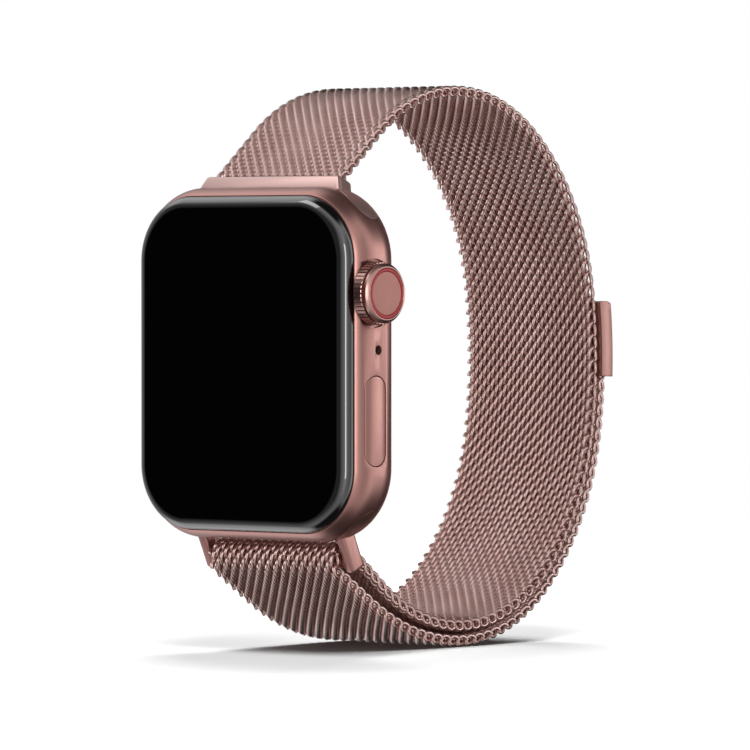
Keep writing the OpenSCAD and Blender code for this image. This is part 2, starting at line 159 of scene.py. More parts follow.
# The room: grey walls whose brightness changes round the watch, white where the
# camera looks, and cards: a black one for the flat glass to mirror, dark ones that
# the case corners pick up and bright ones for the rims above and below the glass
room = dict(
    walls=[(-180, 0.03), (-150, 0.12), (-125, 0.45), (-80, 0.3), (-60, 0.1), (0, 0.1),
           (25, 0.6), (50, 1.1), (76, 0.6), (104, 0.4), (124, 1.1), (146, 0.9),
           (162, 0.05), (180, 0.03)],
    ceiling=0.9, ground=0.6,
    cards=[(-41, -1, 13, 24, 0.005), (178, 42, 22, 44, 0.02), (178, -42, 22, 44, 0.02),
           (60, 86, 20, 38, 0.03), (60, -86, 20, 38, 0.03),
           (-90, 47, 10, 26, 1.15), (-90, -47, 10, 26, 1.15)])
world = bpy.data.worlds.new("studio")
scene.world = world
world.use_nodes = True
tree = world.node_tree
tree.nodes.clear()
way = addNode(tree, "TexCoord").outputs["Generated"]
axes = addNode(tree, "SeparateXYZ", links={0: way})
backwards = addNode(tree, "Math", {1: -1.0}, {0: axes.outputs["Y"]}, operation="MULTIPLY")
bearing = addNode(tree, "Math", links={0: axes.outputs["X"], 1: backwards.outputs[0]},
                  operation="ARCTAN2")
share = addNode(tree, "MapRange", {"From Min": -pi, "From Max": pi},
                {"Value": bearing.outputs[0]})
walls = addNode(tree, "ValToRGB", links={"Fac": share.outputs[0]})
ramp = walls.color_ramp
ramp.interpolation = "EASE"
while len(ramp.elements) > 1:
    ramp.elements.remove(ramp.elements[-1])
for index, (azimuth, level) in enumerate(room["walls"]):
    place = (azimuth + 180) / 360
    stop = ramp.elements[0] if index == 0 else ramp.elements.new(place)
    stop.position = place
    stop.color = (level, level, level, 1)
seenRoom = walls.outputs[0]
for level, start, full in ((room["ceiling"], 0.4, 0.85), (room["ground"], -0.35, -0.8)):
    share = addNode(tree, "MapRange", {"From Min": start, "From Max": full},
                    {"Value": axes.outputs["Z"]}, interpolation_type="SMOOTHSTEP")
    seenRoom = addNode(tree, "Mix", {7: (level,) * 3 + (1,)},
                       {0: share.outputs[0], 6: seenRoom}, data_type="RGBA").outputs[2]
for azimuth, height, inner, outer, level in room["cards"]:
    facing = addNode(tree, "VectorMath", {1: direction(azimuth, height)}, {0: way},
                     operation="DOT_PRODUCT")
    onCard = addNode(tree, "MapRange", {"From Min": cos(radians(outer)),
                                        "From Max": cos(radians(inner))},
                     {"Value": facing.outputs["Value"]}, interpolation_type="SMOOTHSTEP")
    seenRoom = addNode(tree, "Mix", {7: (level,) * 3 + (1,)},
                       {0: onCard.outputs[0], 6: seenRoom}, data_type="RGBA").outputs[2]
greyRoom = addNode(tree, "Background", links={"Color": seenRoom})
whiteRoom = addNode(tree, "Background", {"Color": (1, 1, 1, 1)})
rays = addNode(tree, "LightPath")
either = addNode(tree, "MixShader", links={0: rays.outputs["Is Camera Ray"],
                                           1: greyRoom.outputs[0], 2: whiteRoom.outputs[0]})
tree.links.new(either.outputs[0], addNode(tree, "OutputWorld").inputs["Surface"])
print("camera and light ready")


# Finishes. colour and shade are the two ends of a slow drift in tone; grain is
# the size of the fine texture in millimetres and relief its depth
finishes = dict(
    satinRoseAluminium=dict(  # bead-blasted, dyed: soft sheen with a fine sparkle
        colour="#C28E86", shade="#B7827A", metallic=0.88, roughness=0.33,
        grain=0.12, relief=0.0012, spread=0.06, drift=9, coat=0.3, coatRoughness=0.3),
    turnedRoseAluminium=dict(  # lathe-turned crown: brighter edges on each tooth
        colour="#D3A8A0", shade="#B9867D", metallic=0.92, roughness=0.28,
        grain=0.08, relief=0.001, spread=0.08, drift=3, coat=0.4, coatRoughness=0.25),
    polishedRoseSteel=dict(  # connector: plain light pink, even and smooth
        colour="#D8B2AC", shade="#CFA8A2", metallic=0.75, roughness=0.32,
        grain=0.2, relief=0.0006, spread=0.05, drift=6, coat=0.4, coatRoughness=0.3),
    roseSteelWire=dict(  # woven wire: bright crests over dark gaps
        colour="#E0C2BC", shade="#CBA49D", metallic=0.92, roughness=0.25,
        grain=0.3, relief=0.002, spread=0.1, drift=5, coat=0.2, coatRoughness=0.2),
    brushedRoseSteel=dict(  # clasp: fine lines across the tab
        colour="#A67A72", shade="#986B63", metallic=0.85, roughness=0.3,
        grain=0.1, relief=0.002, spread=0.1, drift=5, stretch=(0.06, 1, 1),
        coat=0.3, coatRoughness=0.25),
    redAnodised=dict(  # thin ring dyed deep red
        colour="#B3151C", shade="#9C1016", metallic=0.1, roughness=0.34,
        grain=0.1, relief=0.0005, spread=0.05, drift=2),
    spunRoseAluminium=dict(  # crown face: satin
        colour="#B57E76", shade="#AB736B", metallic=0.5, roughness=0.4,
        grain=0.1, relief=0.0008, spread=0.06, drift=2),
    blackCoverGlass=dict(  # strengthened glass over a black border: a dark mirror
        colour="#020203", shade="#010101", metallic=0.0, roughness=0.06,
        grain=4, relief=0.0, spread=0.01, drift=12, coat=1.0, coatRoughness=0.04,
        coatIndex=1.95),
    siliconeGasket=dict(  # moulded silicone: dull, a little dusty
        colour="#232325", shade="#1A1A1C", metallic=0.0, roughness=0.7,
        grain=0.15, relief=0.004, spread=0.1, drift=3),
    displayLaminate=dict(  # bonded film stack: dark with a faint sheen
        colour="#101016", shade="#0B0B0F", metallic=0.0, roughness=0.2,
        grain=0.3, relief=0.0005, spread=0.05, drift=5),
    castBackMetal=dict(  # blasted grey aluminium back
        colour="#8F8F92", shade="#828286", metallic=0.8, roughness=0.38,
        grain=0.12, relief=0.0015, spread=0.08, drift=5),
    greenLightWindow=dict(  # clear resin over a green lamp
        colour="#7CC38E", shade="#5DA873", metallic=0.0, roughness=0.15,
        grain=0.4, relief=0.001, spread=0.05, drift=2, coat=0.6, coatRoughness=0.1),
    epoxyPackage=dict(  # moulded chip package: matt, sandy
        colour="#2E2F33", shade="#242528", metallic=0.0, roughness=0.6,
        grain=0.1, relief=0.003, spread=0.1, drift=2),
    enamelledCopper=dict(  # coil wire: warm turns side by side
        colour="#B8723D", shade="#7F4722", metallic=0.8, roughness=0.35,
        grain=0.25, relief=0.01, spread=0.1, drift=2, rings=0.3),
    sinteredMagnet=dict(  # nickel-plated magnet: bright, slightly pitted
        colour="#A4A4A8", shade="#8E8E93", metallic=0.9, roughness=0.32,
        grain=0.2, relief=0.003, spread=0.1, drift=2),
    foilBatteryWrap=dict(  # black film over foil, creased
        colour="#2A2A2F", shade="#1B1B1F", metallic=0.1, roughness=0.45,
        grain=1.4, relief=0.03, spread=0.12, drift=6),
    solderMaskBoard=dict(  # glass-fibre board: green mask over a fine weave
        colour="#1F6B42", shade="#17502F", metallic=0.0, roughness=0.35,
        grain=0.25, relief=0.004, spread=0.1, drift=3, weave=0.5),
    stainlessHardware=dict(  # turned and pressed steel parts
        colour="#B4B4B8", shade="#9C9CA1", metallic=0.95, roughness=0.28,
        grain=0.15, relief=0.0015, spread=0.1, drift=2),
    goldPlatedContact=dict(  # plated spring contacts
        colour="#C9A45C", shade="#B08B47", metallic=0.95, roughness=0.27,
        grain=0.15, relief=0.001, spread=0.08, drift=2),
    mouldedSpeakerBox=dict(  # glass-filled nylon, fine spark texture
        colour="#2B2B2F", shade="#212124", metallic=0.0, roughness=0.55,
        grain=0.12, relief=0.004, spread=0.1, drift=3),
    blackMetalMesh=dict(  # etched grille with a tight weave
        colour="#26262A", shade="#0E0E10", metallic=0.6, roughness=0.5,
        grain=0.1, relief=0.004, spread=0.1, drift=1, weave=0.18))


def makeFinish(name, finish):
    material = bpy.data.materials.new(name)
    material.use_nodes = True
    tree = material.node_tree
    shader = tree.nodes["Principled BSDF"]
    place = addNode(tree, "TexCoord").outputs["Object"]
    flow = addNode(tree, "Mapping", {"Scale": finish.get("stretch", (1, 1, 1))},
                   {"Vector": place})
    grain = addNode(tree, "TexNoise", {"Scale": 1 / (finish["grain"] * mm), "Detail": 3.0,
                                       "Roughness": 0.6}, {"Vector": flow.outputs[0]})
    drift = addNode(tree, "TexNoise", {"Scale": 1 / (finish["drift"] * mm), "Detail": 2.0},
                    {"Vector": place})
    tone = addNode(tree, "Mix", {6: hexColour(finish["shade"]),
                                 7: hexColour(finish["colour"])},
                   {0: drift.outputs[0]}, data_type="RGBA")
    height = grain.outputs[0]
    if "weave" in finish:  # crossing threads
        threads = [addNode(tree, "TexWave", {"Scale": 1 / (finish["weave"] * mm) / 2,
                                             "Distortion": 0.0}, {"Vector": place},
                           bands_direction=axis).outputs["Fac"] for axis in "XZ"]
        height = addNode(tree, "Math", links={0: threads[0], 1: threads[1]},
                         operation="MAXIMUM").outputs[0]
    if "rings" in finish:  # turns of wire round the Y axis
        height = addNode(tree, "TexWave", {"Scale": 1 / (finish["rings"] * mm) / 2,
                                           "Distortion": 0.0},
                         {"Vector": addNode(tree, "Mapping", {"Location": (0, -datum * mm, 0)},
                                            {"Vector": place}).outputs[0]},
                         wave_type="RINGS", rings_direction="Y").outputs["Fac"]
    tree.links.new(tone.outputs[2], shader.inputs["Base Color"])
    rough = addNode(tree, "MapRange", {"To Min": finish["roughness"] - finish["spread"] / 2,
                                       "To Max": finish["roughness"] + finish["spread"] / 2},
                    {"Value": height})
    tree.links.new(rough.outputs[0], shader.inputs["Roughness"])
    if finish["relief"]:
        bump = addNode(tree, "Bump", {"Strength": 0.6, "Distance": finish["relief"] * mm},
                       {"Height": height})
        tree.links.new(bump.outputs[0], shader.inputs["Normal"])
    shader.inputs["Metallic"].default_value = finish["metallic"]
    shader.inputs["Coat Weight"].default_value = finish.get("coat", 0.0)
    shader.inputs["Coat Roughness"].default_value = finish.get("coatRoughness", 0.1)
    if finish.get("coat"):
        shader.inputs["Coat IOR"].default_value = finish.get("coatIndex", 1.7)
    return material


materials = {name: makeFinish(name, finish) for name, finish in finishes.items()}
print("finishes ready:", len(materials))


# Modelling helpers

def pick(kind, test):
    # selects edges or faces of the mesh in edit mode by their middle and direction
    bpy.ops.mesh.select_mode(type={"edges": "EDGE", "faces": "FACE"}[kind])
    bpy.ops.mesh.select_all(action="DESELECT")
    shape = bmesh.from_edit_mesh(bpy.context.edit_object.data)
    for part in getattr(shape, kind):
        if kind == "edges":
            middle = (part.verts[0].co + part.verts[1].co) / 2
            way = (part.verts[1].co - part.verts[0].co).normalized()
        else:
            middle, way = part.calc_center_median(), part.normal
        part.select_set(bool(test(middle, way)))
    shape.select_flush_mode()
    bmesh.update_edit_mesh(bpy.context.edit_object.data)


def startBlock(name, low, high, radius=0, segments=16, along="y"):
    deselect()
    low, high = Vector(low), Vector(high)
    bpy.ops.mesh.primitive_cube_add(size=1, location=(low + high) / 2, scale=high - low)
    piece = bpy.context.object
    piece.name = name
    bpy.ops.object.transform_apply(location=True, rotation=False, scale=True)
    if radius:
        index = "xyz".index(along)
        bpy.ops.object.mode_set(mode="EDIT")
        pick("edges", lambda middle, way: abs(way[index]) > 0.9)
        bpy.ops.mesh.bevel(offset=radius, segments=segments, affect="EDGES")
        bpy.ops.object.mode_set(mode="OBJECT")
    return piece


def startRod(name, radius, start, end, sides=48):
    # a round bar between two points
    deselect()
    start, end = Vector(start), Vector(end)
    way = end - start
    bpy.ops.mesh.primitive_cylinder_add(
        vertices=sides, radius=radius, depth=way.length, location=(start + end) / 2,
        rotation=way.to_track_quat("Z", "Y").to_euler())
    piece = bpy.context.object
    piece.name = name
    bpy.ops.object.transform_apply(location=True, rotation=True, scale=True)
    return piece


def shapeFace(piece, way, steps):
    # insets the flat face that looks that way again and again: (inset, rise) each time
    activate(piece)
    way = Vector(way)
    bpy.ops.object.mode_set(mode="EDIT")
    reach = max(vert.co.dot(way) for vert in piece.data.vertices)
    pick("faces", lambda middle, normal: normal.dot(way) > 0.99
         and middle.dot(way) > reach - 0.001)
    for inset, rise in steps:
        bpy.ops.mesh.inset(thickness=inset, depth=rise, use_even_offset=True)
    bpy.ops.object.mode_set(mode="OBJECT")


def ellipseSteps(inset, depth, degrees, count):
    # inset and rise of each step up a quarter-ellipse edge
    angles = [radians(degrees) * i / count for i in range(count + 1)]
    return [(inset * (cos(a) - cos(b)), depth * (sin(b) - sin(a)))
            for a, b in zip(angles, angles[1:])]


def combine(piece, other, operation="DIFFERENCE"):
    activate(piece)
    cutting = piece.modifiers.new("cutting", "BOOLEAN")
    cutting.operation, cutting.object, cutting.solver = operation, other, "EXACT"
    bpy.ops.object.modifier_apply(modifier="cutting")
    bpy.data.objects.remove(other)


def copyOf(piece, name):
    twin = piece.copy()
    twin.data = piece.data.copy()
    twin.name = name
    scene.collection.objects.link(twin)
    return twin


def softenEdges(piece, width, angle=35, segments=2):
    activate(piece)
    soft = piece.modifiers.new("softEdges", "BEVEL")
    soft.width, soft.segments, soft.limit_method = width, segments, "ANGLE"
    soft.angle_limit = radians(angle)
    bpy.ops.object.modifier_apply(modifier="softEdges")


def tidyMesh(piece, merge=0.0005):
    activate(piece)
    bpy.ops.object.mode_set(mode="EDIT")
    bpy.ops.mesh.select_all(action="SELECT")
    bpy.ops.mesh.remove_doubles(threshold=merge)
    bpy.ops.mesh.normals_make_consistent(inside=False)
    bpy.ops.object.mode_set(mode="OBJECT")


def finishPiece(piece, body, material, nodes, smooth=32):
    # metres, smooth shading, material, and the links to the frame
    piece.data.transform(Matrix.Diagonal((mm, mm, mm, 1)))
    activate(piece)
    bpy.ops.object.shade_smooth_by_angle(angle=radians(smooth))
    piece.data.materials.clear()
    piece.data.materials.append(materials[material])
    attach(piece, body)
    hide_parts(*nodes)
    deselect()


def pillAlongZ(name, half, length, x0, x1, y, z, segments=12):
    return startBlock(name, (x0, y - half, z - length / 2), (x1, y + half, z + length / 2),
                      half * 0.97, segments, "x")


def pillAlongX(name, half, length, y0, y1, z, segments=12):
    return startBlock(name, (-length / 2, y0, z - half), (length / 2, y1, z + half),
                      half * 0.97, segments, "y")


def turned(name, steps, y, z, sides=96):
    # a lathe-turned part about an X axis: (radius, x) from its back to its front
    deselect()
    radius, x = steps[0]
    bpy.ops.mesh.primitive_circle_add(vertices=sides, radius=radius, fill_type="NGON",
                                      location=(x, y, z), rotation=(0, pi / 2, 0))
    piece = bpy.context.object
    piece.name = name
    bpy.ops.object.transform_apply(location=True, rotation=True, scale=True)
    bpy.ops.object.mode_set(mode="EDIT")
    bpy.ops.mesh.select_all(action="SELECT")
    for nextRadius, nextX in steps[1:]:
        bpy.ops.mesh.extrude_region_move(
            TRANSFORM_OT_translate={"value": (nextX - x, 0, 0)})
        grow = nextRadius / radius
        bpy.ops.transform.resize(value=(1, grow, grow), center_override=(nextX, y, z))
        radius, x = nextRadius, nextX
    bpy.ops.object.mode_set(mode="OBJECT")
    tidyMesh(piece, 0.00001)
    return piece


def spunSection(name, low, high, centre, axis, degrees, steps, bevel=0.0):
    # a rectangle from low to high (X and one more axis) swept about an axis
    deselect()
    low, high = Vector(low), Vector(high)
    size = high - low
    bpy.ops.mesh.primitive_plane_add(size=1, location=(low + high) / 2)
    piece = bpy.context.object
    piece.name = name
    if abs(size.y) < 1e-9:  # it stands in the XZ plane
        piece.rotation_euler = (pi / 2, 0, 0)
        piece.scale = (size.x, size.z, 1)
    else:
        piece.scale = (size.x, size.y, 1)
    bpy.ops.object.transform_apply(location=True, rotation=True, scale=True)
    bpy.ops.object.mode_set(mode="EDIT")
    bpy.ops.mesh.select_all(action="SELECT")
    if bevel:
        bpy.ops.mesh.bevel(offset=bevel, segments=4, affect="VERTICES")
        bpy.ops.mesh.select_all(action="SELECT")
    if degrees == 360:  # a closed ring keeps no face across its section
        bpy.ops.mesh.delete(type="ONLY_FACE")
        bpy.ops.mesh.select_all(action="SELECT")
    bpy.ops.mesh.spin(steps=steps, angle=-radians(degrees), center=centre, axis=axis)
    bpy.ops.object.mode_set(mode="OBJECT")
    tidyMesh(piece)
    return piece


# Case: one block whose front and back are drawn in by insets, then cut out

solid = startBlock("caseSolid", (-halfW, datum - case["flatFront"], -halfH),
                   (halfW, datum + case["flatBack"], halfH),
                   case["cornerRadius"], case["cornerSegments"])
shapeFace(solid, (0, -1, 0), ellipseSteps(*case["frontCurve"], 9))
shapeFace(solid, (0, 1, 0), ellipseSteps(*case["backCurve"], 12))
tidyMesh(solid)

opening = dict(wall=2.0, endWall=5.1, backWall=3.2, cornerRadius=6.5,
               coverSide=4.6, coverEnd=6.4, coverRadius=6.0)
slots = dict(depth=1.4, fromEnd=2.1, radius=2.05, lean=65, mouth=2.8, reach=6)
crown = dict(depth=-0.5, height=8.8, recess=0.35, recessDepth=0.55, boreRadius=1.62,
             teeth=44, toothHalf=0.11, toothDepth=0.16, shaftRadius=0.82)
button = dict(depth=-0.1, height=-6.95, half=1.75, length=11.1, gap=0.1,
              sunk=0.03, edge=0.13, flange=0.55)
microphone = dict(depth=0.3, height=1.8, radius=0.6)
speaker = dict(depth=0.6, height=4.2, half=0.45, length=6)
release = dict(fromEnd=5, half=0.8, length=5, gap=0.1, start=4.1, sunk=0.1, edge=0.06,
               dish=[(0.12, 0.0), (0.1, -0.06), (0.1, -0.03)])
inX = halfW - opening["wall"]
inZ = halfH - opening["endWall"]
shell = copyOf(solid, "caseShell")
combine(shell, startBlock("cavity", (-inX, datum - 5, -inZ),
                          (inX, datum + opening["backWall"], inZ),
                          opening["cornerRadius"], 20))
combine(shell, startBlock(
    "coverHole", (opening["coverSide"] - halfW, datum + 3, opening["coverEnd"] - halfH),
    (halfW - opening["coverSide"], datum + 7, halfH - opening["coverEnd"]),
    opening["coverRadius"], 20))


def leaningBlock(name, side, low, high, narrow=1):
    # a block laid along the lean of a connector slot, upper (1) or lower (-1)
    block = startBlock(name, low, high)
    if narrow != 1:  # its far end drawn in
        activate(block)
        bpy.ops.object.mode_set(mode="EDIT")
        pick("faces", lambda middle, normal: normal.y > 0.9)
        bpy.ops.transform.resize(value=(narrow, 1, 1), center_override=(0, high[1], 0))
        bpy.ops.object.mode_set(mode="OBJECT")
    place = (Matrix.Translation((0, datum + slots["depth"], side * (halfH - slots["fromEnd"])))
             @ Matrix.Rotation(side * radians(slots["lean"]), 4, "X"))
    block.data.transform(place)
    return block


for side in (1, -1):
    slotZ = side * (halfH - slots["fromEnd"])
    combine(shell, startRod("slotBore", slots["radius"],
                            (-halfW - 1, datum + slots["depth"], slotZ),
                            (halfW + 1, datum + slots["depth"], slotZ), 64))
    combine(shell, leaningBlock("slotMouth", side, (-halfW - 1, 0, -slots["mouth"] / 2),
                                (halfW + 1, slots["reach"], slots["mouth"] / 2)))
    combine(shell, pillAlongX("releaseHole", release["half"] + release["gap"],
                              release["length"] + 2 * release["gap"], datum + 3.5, datum + 6,
                              side * (halfH - release["fromEnd"])))
crownY, crownR = datum + crown["depth"], crownHigh.z - crown["height"]
combine(shell, startRod("crownRecess", crownR + crown["recess"],
                        (halfW - crown["recessDepth"], crownY, crown["height"]),
                        (halfW + 2, crownY, crown["height"]), 72))
combine(shell, startRod("crownBore", crown["boreRadius"], (inX - 1, crownY, crown["height"]),
                        (halfW + 1, crownY, crown["height"]), 40))
combine(shell, startRod("micHole", microphone["radius"],
                        (inX - 1, datum + microphone["depth"], microphone["height"]),
                        (halfW + 1, datum + microphone["depth"], microphone["height"]), 32))
combine(shell, pillAlongZ("buttonHole", button["half"] + button["gap"],
                          button["length"] + 2 * button["gap"], inX - 1, halfW + 1,
                          datum + button["depth"], button["height"], 14))
for height in (speaker["height"], -speaker["height"]):
    combine(shell, pillAlongZ("speakerSlot", speaker["half"], speaker["length"], -halfW - 1,
                              -inX + 1, datum + speaker["depth"], height, 8))
softenEdges(shell, case["edgeBevel"])
finishPiece(shell, "case", "satinRoseAluminium", ["case_frame"])
print("case ready")

# Side button, cut from the same curved side so that it lies flush
buttonY = datum + button["depth"]
push = copyOf(solid, "sideButton")
activate(push)
bpy.ops.object.mode_set(mode="EDIT")
bpy.ops.mesh.select_all(action="SELECT")
bpy.ops.transform.shrink_fatten(value=-button["sunk"])
bpy.ops.object.mode_set(mode="OBJECT")
combine(push, pillAlongZ("buttonPill", button["half"], button["length"], inX - 0.6,
                         halfW + 1, buttonY, button["height"], 14), "INTERSECT")
softenEdges(push, button["edge"], 40, 3)
flange = pillAlongZ("buttonFlange", button["half"] + button["flange"], button["length"] + 0.2,
                    inX - 0.9, inX - 0.45, buttonY, button["height"], 12)
shapeFace(flange, (-1, 0, 0), [(0.5, 0.0), (0.2, 0.3)])
combine(push, flange, "UNION")
finishPiece(push, "push_button", "satinRoseAluminium", ["side_button"])
# Release buttons in the back
for side, node, body in ((1, "upper_release", "release_upper"),
                         (-1, "lower_release", "release_lower")):
    pad = pillAlongX(node.replace("_r", "R") + "Button", release["half"], release["length"],
                     datum + release["start"], datum + case["backDepth"] - release["sunk"],
                     side * (halfH - release["fromEnd"]))
    shapeFace(pad, (0, 1, 0), release["dish"])
    softenEdges(pad, release["edge"], 50)
    finishPiece(pad, body, "satinRoseAluminium", [node])
print("buttons ready")

# Cover glass: a slab whose edge falls away in a quarter ellipse
glass = dict(cornerRadius=8.05, edge=(1.8, 1.45, 90), start=0.02)
pane = startBlock("coverGlass", (glassLow.x, glassHigh.y - glass["start"], glassLow.z),
                  (glassHigh.x, glassHigh.y, glassHigh.z), glass["cornerRadius"], 28)
shapeFace(pane, (0, -1, 0), [(inset, rise * (glassHigh.y - glassLow.y - glass["start"])
                              / glass["edge"][1])
                             for inset, rise in ellipseSteps(*glass["edge"], 18)])
tidyMesh(pane)
finishPiece(pane, "case", "blackCoverGlass", ["display_glass"], 50)
print("glass ready")

# Crown: a turned drum with cut teeth, a red ring and a spun disc
crownX = crownHigh.x
drum = turned("crownDrum", [
    (crownR - 0.1, crownX - 2.25), (crownR, crownX - 2.17), (crownR, crownX - 1.03),
    (crownR - 0.08, crownX - 0.95), (crownR - 0.5, crownX - 0.93),
    (crownR - 0.52, crownX - 0.72), (crownR - 0.24, crownX - 0.7),
    (crownR - 0.2, crownX - 0.66), (crownR - 0.2, crownX - 0.4),
    (crownR - 0.24, crownX - 0.35), (crownR - 0.56, crownX - 0.03),
    (crownR - 0.62, crownX), (crownR - 0.7, crownX), (crownR - 0.75, crownX - 0.05),
    (crownR - 0.75, crownX - 0.41)], crownY, crown["height"], 132)
teeth = startBlock("toothCutter",
                   (crownX - 2.4, crownY - crown["toothHalf"],
                    crown["height"] + crownR - crown["toothDepth"]),
                   (crownX - 0.94, crownY + crown["toothHalf"],
                    crown["height"] + crownR + 0.5))
activate(teeth)
bpy.ops.object.mode_set(mode="EDIT")
bpy.ops.mesh.select_all(action="SELECT")
bpy.ops.mesh.spin(steps=crown["teeth"], angle=2 * pi, dupli=True, axis=(1, 0, 0),
                  center=(crownX, crownY, crown["height"]))
bpy.ops.object.mode_set(mode="OBJECT")
tidyMesh(teeth)
combine(drum, teeth)
combine(drum, startRod("shaftBore", crown["shaftRadius"], (crownX - 3, crownY, crown["height"]),
                       (crownX - 1.6, crownY, crown["height"]), 32))
finishPiece(drum, "crown_wheel", "turnedRoseAluminium", ["crown_cap"], 28)
ring = spunSection("crownRing", (crownX - 0.4, crownY, crown["height"] + crownR - 1.2),
                   (crownX - 0.05, crownY, crown["height"] + crownR - 0.78),
                   (crownX, crownY, crown["height"]), (1, 0, 0), 360, 96, 0.07)
finishPiece(ring, "crown_wheel", "redAnodised", ["crown_ring"], 40)
disc = turned("crownDisc", [
    (crownR - 1.28, crownX - 0.4), (crownR - 1.22, crownX - 0.36),
    (crownR - 1.22, crownX - 0.13), (crownR - 1.25, crownX - 0.095),
    (crownR - 1.35, crownX - 0.085), (1.2, crownX - 0.06), (0.3, crownX - 0.055)],
    crownY, crown["height"], 96)
finishPiece(disc, "crown_wheel", "spunRoseAluminium", ["crown_disc"], 30)
print("crown ready")

# Connectors: a rail in the case slot and a neck or a pair of posts
joint = dict(railRadius=2.0, halfWidth=12.4, neckHalf=1.3, neckLength=3.1,
             neckTop=11.1, neckEdge=0.4, railEdge=0.12,
             postInner=11, postHalf=1.2, postEdge=0.45, barLength=5.1, barRadius=0.9,
             pinRadius=0.55)
strap = dict(half=10.85, halfThick=0.8, leaves=40)  # degrees above level at the connector
for side, node in ((1, "upper_connector"), (-1, "lower_connector")):
    slotZ = side * (halfH - slots["fromEnd"])
    slotY = datum + slots["depth"]
    part = copyOf(solid, node.replace("_c", "C"))  # its ends lie flush with the case
    combine(part, startRod("rail", joint["railRadius"], (-halfW - 1, slotY, slotZ),
                           (halfW + 1, slotY, slotZ), 72), "INTERSECT")
    softenEdges(part, joint["railEdge"], 50, 3)
    if side > 0:
        neck = leaningBlock("neck", 1, (-joint["halfWidth"], 0.5, -joint["neckHalf"]),
                            (joint["halfWidth"], joint["neckLength"] + 0.3, joint["neckHalf"]),
                            joint["neckTop"] / joint["halfWidth"])
        softenEdges(neck, joint["neckEdge"], 60, 5)
        combine(part, neck, "UNION")
    else:
        for x in (-1, 1):
            ends = sorted((x * joint["postInner"], x * joint["halfWidth"]))
            post = leaningBlock("post", -1, (ends[0], 0.8, -joint["postHalf"]),
                                (ends[1], joint["barLength"] + 1.15, joint["postHalf"]))
            softenEdges(post, joint["postEdge"], 60, 5)
            combine(part, post, "UNION")
        away = Vector((0, cos(radians(slots["lean"])), -sin(radians(slots["lean"]))))
        barMiddle = Vector((0, slotY, slotZ)) + away * joint["barLength"]
        half = Vector((joint["halfWidth"] - 0.2, 0, 0))
        combine(part, startRod("bar", joint["barRadius"], barMiddle - half, barMiddle + half),
                "UNION")
    combine(part, startRod("pinHole", joint["pinRadius"], (0, slotY, slotZ),
                           (0, slotY + 3, slotZ), 24))
    if side > 0:
        pocket = startBlock("pocket", (-strap["half"] - 0.1, -0.3, -strap["halfThick"] - 0.04),
                            (strap["half"] + 0.1, 5, strap["halfThick"] + 0.04))
        away = Vector((0, cos(radians(slots["lean"])), sin(radians(slots["lean"]))))
        start = Vector((0, slotY, slotZ)) + away * joint["neckLength"]
        pocket.data.transform(Matrix.Translation(start)
                              @ Matrix.Rotation(radians(strap["leaves"]), 4, "X"))
        combine(part, pocket)
    # the lower connector is given the case's darker finish instead of the connector's own:
    # painted shade, as it faces the ground
    finishPiece(part, "band", "polishedRoseSteel" if side > 0 else "satinRoseAluminium",
                [node])
bpy.data.objects.remove(solid)
print("connectors ready")

# The ring round the back crystal
ringLow, ringHigh = nodeBox("electrode_ring")
contact = dict(inner=12.06, outer=12.94, edge=0.1)
electrode = spunSection("electrodeRing", (contact["inner"], ringLow.y, 0),
                        (contact["outer"], ringHigh.y, 0),
                        (0, datum, 0), (0, 1, 0), 360, 128, contact["edge"])
finishPiece(electrode, "case", "castBackMetal", ["electrode_ring"], 40)

# Woven band: flattened spirals of wire, each row half a turn off the next
weave = dict(wire=0.25, alongReach=0.85, acrossReach=0.55, turns=15, width=21.2,
             pointsPerTurn=10, endMargin=0.85, rowStep=0.815, endEase=0.3, endPoints=7)
route = dict(
    start=(2.71012, 22.7096), heading=40,
    inner=[(9.21971, 0), (24.1, -32), (24.2, -46), (31.2, -43), (59.2, -18), (32.2, -36),
           (22.7, -40), (24.9, -43), (8.26494, 0), (1.8, 185), (7.59626, 0)],
    tail=[(32.2427, 16.5), (32.2427, 16.5), (25.0889, 22.5), (24.6, 22.5), (34.1, 18),
          (34.1, 18), (61.1, 8.8)])


def runLength(run):
    return run[0] if run[1] == 0 else run[0] * radians(abs(run[1]))


def routePoints():
    # the middle line of the band in the YZ plane, a point every 0.4 mm or so
    point = Vector((route["start"][0] + datum, route["start"][1]))
    heading = radians(route["heading"])
    points = [point.copy()]
    for size, turn in route["inner"] + route["tail"]:
        count = max(int(ceil(runLength((size, turn)) / 0.4)), int(abs(turn) / 8), 1)
        for i in range(count):
            if turn == 0:
                point = point + Vector((cos(heading), sin(heading))) * size / count
            else:
                step = radians(turn) / count
                side = 1 if turn > 0 else -1
                point = point + side * size * Vector((
                    sin(heading + step) - sin(heading), cos(heading) - cos(heading + step)))
                heading += step
            points.append(point.copy())
    return points


def polyCurve(name, points, flat):
    data = bpy.data.curves.new(name, "CURVE")
    data.dimensions = "2D" if flat else "3D"
    spline = data.splines.new("POLY")
    spline.points.add(len(points) - 1)
    for knot, point in zip(spline.points, points):
        knot.co = (*point, 0, 1) if flat else (*point, 1)
    piece = bpy.data.objects.new(name, data)
    scene.collection.objects.link(piece)
    return piece


